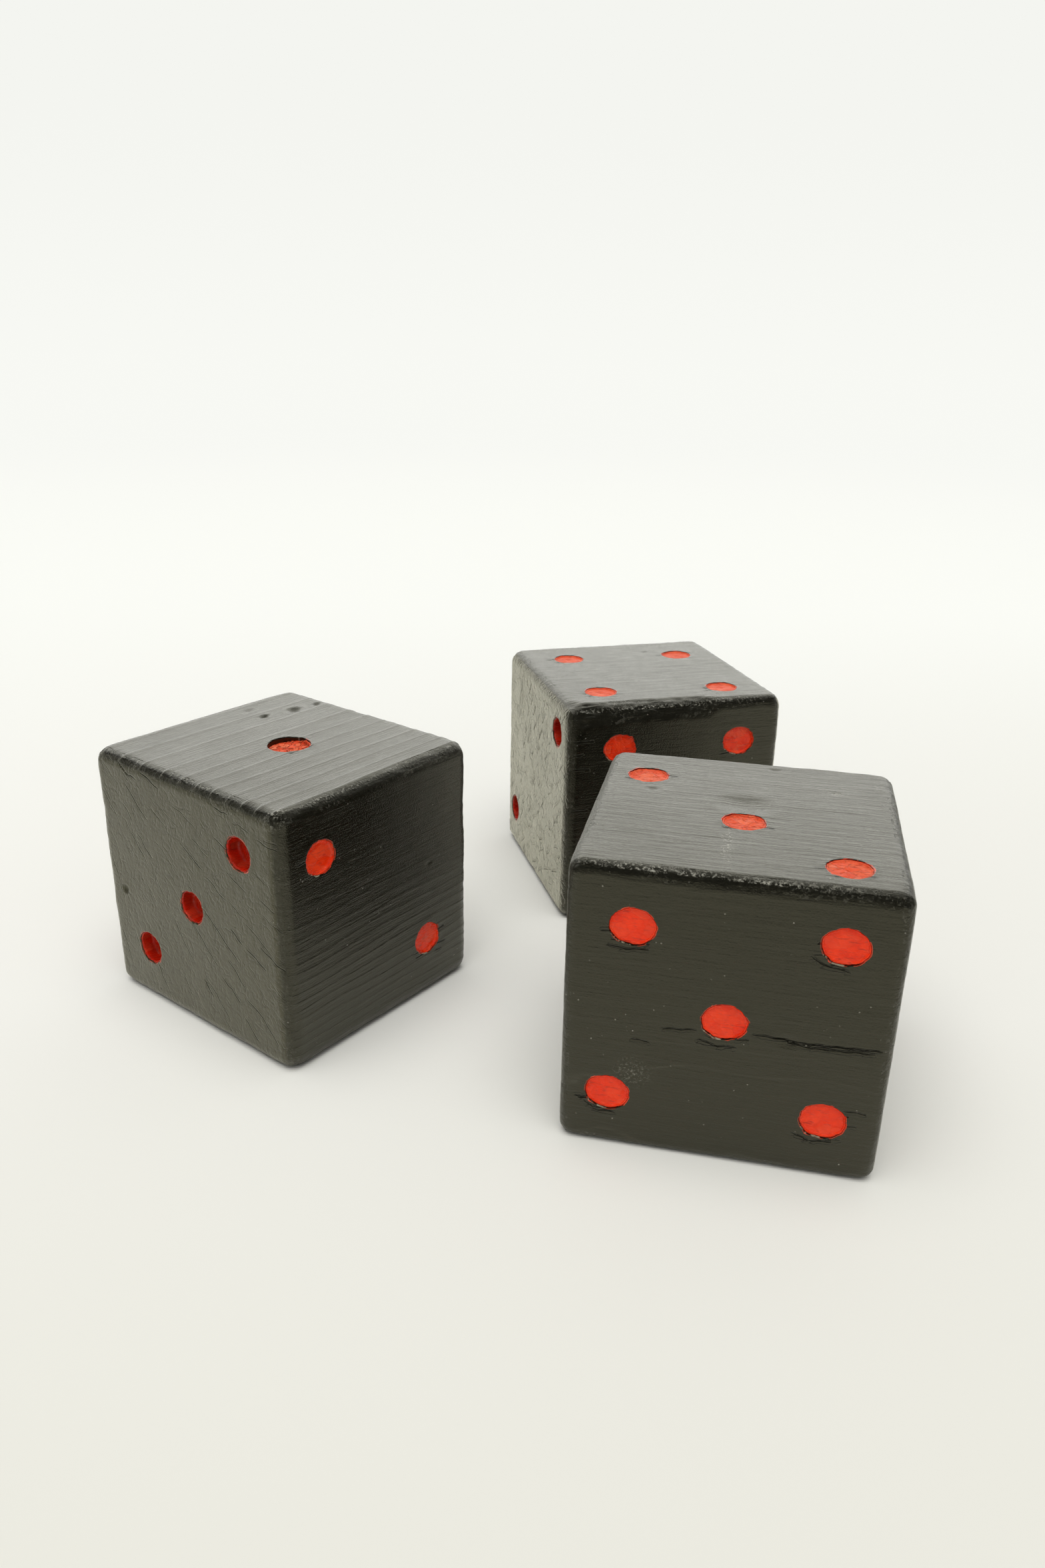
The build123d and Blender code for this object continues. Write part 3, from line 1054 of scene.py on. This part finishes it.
def red_enamel():
    """Orange-red brushed enamel, darker where it ran thin or soaked into end grain, with painted shade
    in deep end-grain holes, torn hollows and gaps between flakes, and painted light on top faces.
    """
    g = Graph("red_enamel")
    place = g.stretched((1, 1, 1))
    streaks = g.noise(g.stretched((260, 1300, 1300)), 1.0, 3.0, 0.6)
    patches = g.noise(place, 260, 3.0, 0.6)

    # flakes where the bit chewed the bottom of a hole, with painted shade in the gaps between them
    chewed = g.attribute("chewed")
    along = g.node("TexCoord").outputs["Object"]
    flakes = {"Rotation": (0.0, 0.0, 0.6), "Scale": (1.0, 2.0, 1.3)}
    flakes = g.node("Mapping", {"Vector": along, **flakes}).outputs[0]
    cells = {"Vector": flakes, "Scale": 270.0}
    tone = g.node("TexVoronoi", cells, feature="F1").outputs["Color"]
    tone = g.node("SeparateXYZ", {0: tone}).outputs["X"]
    border = g.node("TexVoronoi", cells, feature="DISTANCE_TO_EDGE").outputs[0]
    border = g.times(chewed, g.smooth(border, 0.07, 0.0))
    pale = g.times(chewed, g.remap(tone, 0.45, 0.9, 0.0, 0.8))

    colour = g.coated(
        g.mix(g.remap(patches, 0.35, 0.7), *ENAMEL["bright"]),
        # darker enamel on the ends: soaked in, and painted shade of the deep end-grain holes
        (g.times(g.attribute("end"), 0.85), g.mix(g.remap(patches, 0.4, 0.65), *ENAMEL["soaked_and_shaded"])),
        # paler enamel on top faces: faded, and painted light from above
        (g.attribute("faded_and_toplit"), g.mix(patches, *ENAMEL["faded_and_toplit"])),
        # painted shade in the low spots of the torn floor
        (g.attribute("hollow"), ENAMEL["hollow"]),
        (pale, ENAMEL["flake"]),
        # painted shade in the gaps between flakes
        (g.times(border, 0.6), ENAMEL["flake gap shade"]),
        (g.times(g.remap(streaks, 0.56, 0.7), 0.6), ENAMEL["thin"]),
    )
    rough = g.remap(streaks, 0.3, 0.7, 0.16, 0.36)
    rough = g.plus(rough, g.times(g.attribute("faded_and_toplit"), 0.25))
    height = g.plus(g.times(streaks, 0.1), g.times(patches, 0.25))
    height = g.plus(height, g.times(chewed, g.times(tone, 0.5)))
    height = g.minus(height, g.times(border, 0.3))
    normal = g.bump(height, *RELIEF)
    return g.finish(Base_Color=colour, Roughness=rough, IOR=1.34, Normal=normal)


# ======== stage, lights and camera
CAMERA_AT = (0.0117, -0.384, 0.2237)  # metres
CAMERA_DOWN = 22.17  # degrees below the horizon
CAMERA_ROLL = 1.1
SENSOR = 36.0  # millimetres, along the picture's long side
LENS = 26.36
FOCUS_AT = (-0.05, -0.045, 0.08)  # metres
F_STOP = 27.0
FLOOR_HALF = 6.0
BACKGROUND = (0.905, 0.912, 0.872, 1)  # what the camera sees beyond the floor, high up
HORIZON = (0.935, 0.942, 0.9, 1)

# The studio moves round with the camera, so that every view has the same light. What a mirror
# would see: a pale backdrop ahead, a bright panel above it that ends in a brighter strip, and a
# dim room elsewhere. Heights are the sine of the elevation; a bearing is the cosine of the angle
# from straight ahead.
BACKDROP_LIGHT = 0.95
PANEL_LIGHT = (2.8, 1.55)  # at its foot and from PANEL_FADE up
PANEL_FOOT = (0.08, 0.2)  # heights between which the backdrop gives way to the panel
PANEL_FADE = (0.2, 0.46)
LAMP_STRIP = (0.6, 0.68)  # heights over which the panel grows into its brighter strip
STRIP_LIGHT = 2.6
PANEL_HEAD = (0.72, 0.8)
PANEL_SIDES = (0.62, 0.85)  # bearings
CEILING_LIGHT = 0.3
ROOM_LIGHT = (0.28, 0.1)  # at the horizon and above it
ROOM_RISE = (-0.05, 0.25)
PAPER_EDGE = (0.4, 0.75)  # metres from the camera's line of sight where the pale floor ends

# What falls on matt surfaces: an even glow, stronger from the camera's side, and a soft lamp
# above and a little in front of the dice.
GLOW_LIGHT = 0.39
FRONT_LIGHT = 0.57
LAMP_LIGHT = 3.75
LAMP_DIRECTION = (-0.06, -0.22, 0.974)
LAMP_EDGES = (0.84, 0.94)


def pale_floor():
    """Pale matt floor, painted brighter further back and on the left as painted light, that fades into
    the background far away. In reflections it ends at the edge of the paper."""
    g = Graph("pale_floor")
    coordinates = g.node("TexCoord").outputs
    place = coordinates["Object"]
    away = g.vector("LENGTH", place)
    across, _, depth = g.node("SeparateXYZ", {0: coordinates["Camera"]}).outputs
    # painted light: the floor is painted darker near the camera and towards the right
    near = g.mix(g.remap(across, -0.3, 0.3), (0.84, 0.833, 0.81, 1), (0.8, 0.793, 0.765, 1))
    near = g.mix(g.remap(depth, 0.18, 0.4), (0.745, 0.737, 0.69, 1), near)
    colour = g.mix(g.smooth(depth, 0.44, 1.0), near, (0.87, 0.875, 0.86, 1))
    ended = g.smooth(g.math("ABSOLUTE", across), *PAPER_EDGE)
    ended = g.math("MAXIMUM", ended, g.smooth(depth, 0.0, -0.3))
    ended = g.times(ended, g.node("LightPath").outputs["Is Glossy Ray"])
    colour = g.mix(ended, colour, (0.1, 0.1, 0.09, 1))
    matt = g.node("BsdfDiffuse", {"Color": colour})
    glow = g.node("Emission", {"Color": HORIZON, "Strength": 1.0})
    shares = {0: g.smooth(away, 0.7, 2.0), 1: matt.outputs[0], 2: glow.outputs[0]}
    both = g.node("MixShader", shares)
    output = g.node("OutputMaterial")
    g.tree.links.new(both.outputs[0], output.inputs[0])
    return g.owner


def make_stage():
    mesh = bpy.data.meshes.new("floor")
    h = FLOOR_HALF
    mesh.from_pydata([(-h, -h, 0), (h, -h, 0), (h, h, 0), (-h, h, 0)], [], [(0, 1, 2, 3)])
    mesh.materials.append(pale_floor())
    floor = bpy.data.objects.new("floor", mesh)
    bpy.context.scene.collection.objects.link(floor)


def make_world():
    """White studio: a plain backdrop to the camera; a panel, its strip and a dim room to a
    mirror; an even glow and a soft lamp to matt surfaces."""
    world = bpy.data.worlds.new("studio")
    bpy.context.scene.world = world
    world.cycles.sampling_method = "NONE"  # so that each kind of ray gets its own light
    g = Graph(world=world)
    coordinates = g.node("TexCoord").outputs
    height = g.node("SeparateXYZ", {0: coordinates["Generated"]}).outputs["Z"]

    # straight up, level ahead and right, as the camera sees them
    spaces = {"vector_type": "VECTOR", "convert_from": "WORLD", "convert_to": "CAMERA"}
    up = g.node("VectorTransform", {0: (0.0, 0.0, 1.0)}, **spaces).outputs[0]
    climb = g.vector("DOT_PRODUCT", (0.0, 0.0, 1.0), up)
    climb = g.scaled(up, climb)
    level_ahead = g.vector("NORMALIZE", g.vector("SUBTRACT", (0.0, 0.0, 1.0), climb))
    ahead = g.vector("DOT_PRODUCT", coordinates["Camera"], level_ahead)
    across = g.vector("DOT_PRODUCT", coordinates["Camera"], g.vector("CROSS_PRODUCT", up, level_ahead))
    direction = g.node("CombineXYZ", {0: across, 1: ahead, 2: height}).outputs[0]

    def disc(middle, edges):
        return g.smooth(g.vector("DOT_PRODUCT", direction, middle), *edges)

    level = g.math("SQRT", g.plus(g.math("POWER", across, 2.0), g.math("POWER", ahead, 2.0)))
    bearing = g.math("DIVIDE", ahead, level)
    panel = g.blend(g.smooth(height, *PANEL_FADE), *PANEL_LIGHT)
    panel = g.blend(g.smooth(height, *PANEL_FOOT), BACKDROP_LIGHT, panel)
    panel = g.blend(g.smooth(height, *LAMP_STRIP), panel, STRIP_LIGHT)
    panel = g.blend(g.smooth(height, *PANEL_HEAD), panel, CEILING_LIGHT)
    room = g.blend(g.smooth(height, *ROOM_RISE), *ROOM_LIGHT)
    mirrored = g.blend(g.smooth(bearing, *PANEL_SIDES), room, panel)
    glow = g.blend(g.smooth(ahead, 0.1, -0.6), GLOW_LIGHT, FRONT_LIGHT)
    matt = g.blend(disc(LAMP_DIRECTION, LAMP_EDGES), glow, LAMP_LIGHT)

    rays = g.node("LightPath").outputs
    light = g.blend(rays["Is Glossy Ray"], matt, mirrored)
    colour = g.node("CombineColor", {0: light, 1: light, 2: g.times(light, 0.96)})
    backdrop = g.mix(g.smooth(height, -0.06, 0.16), HORIZON, BACKGROUND)
    colour = g.mix(rays["Is Camera Ray"], colour.outputs[0], backdrop)
    background = g.node("Background", {"Color": colour})
    output = g.node("OutputWorld")
    g.tree.links.new(background.outputs[0], output.inputs[0])


def make_camera():
    data = bpy.data.cameras.new("camera")
    data.sensor_fit, data.sensor_width, data.lens = "AUTO", SENSOR, LENS
    data.clip_start, data.clip_end = 0.01, 100.0
    camera = bpy.data.objects.new("camera", data)
    down = Matrix.Rotation(math.radians(90 - CAMERA_DOWN), 4, "X")
    roll = Matrix.Rotation(math.radians(CAMERA_ROLL), 4, "Z")
    camera.matrix_world = Matrix.Translation(CAMERA_AT) @ down @ roll
    bpy.context.scene.collection.objects.link(camera)
    bpy.context.scene.camera = camera
    focus = bpy.data.objects.new("focus", None)
    focus.location = FOCUS_AT
    bpy.context.scene.collection.objects.link(focus)
    data.dof.use_dof, data.dof.focus_object, data.dof.aperture_fstop = True, focus, F_STOP


paint = black_paint()
enamel = red_enamel()
for die_name, die_style in DICE.items():
    the_die = read_die(die_name, die_style)
    make_block(the_die, paint)
    for die_face in FACES:
        make_skins(the_die, die_face, enamel)

make_stage()
make_world()
make_camera()
bpy.context.scene.view_settings.view_transform = "Standard"
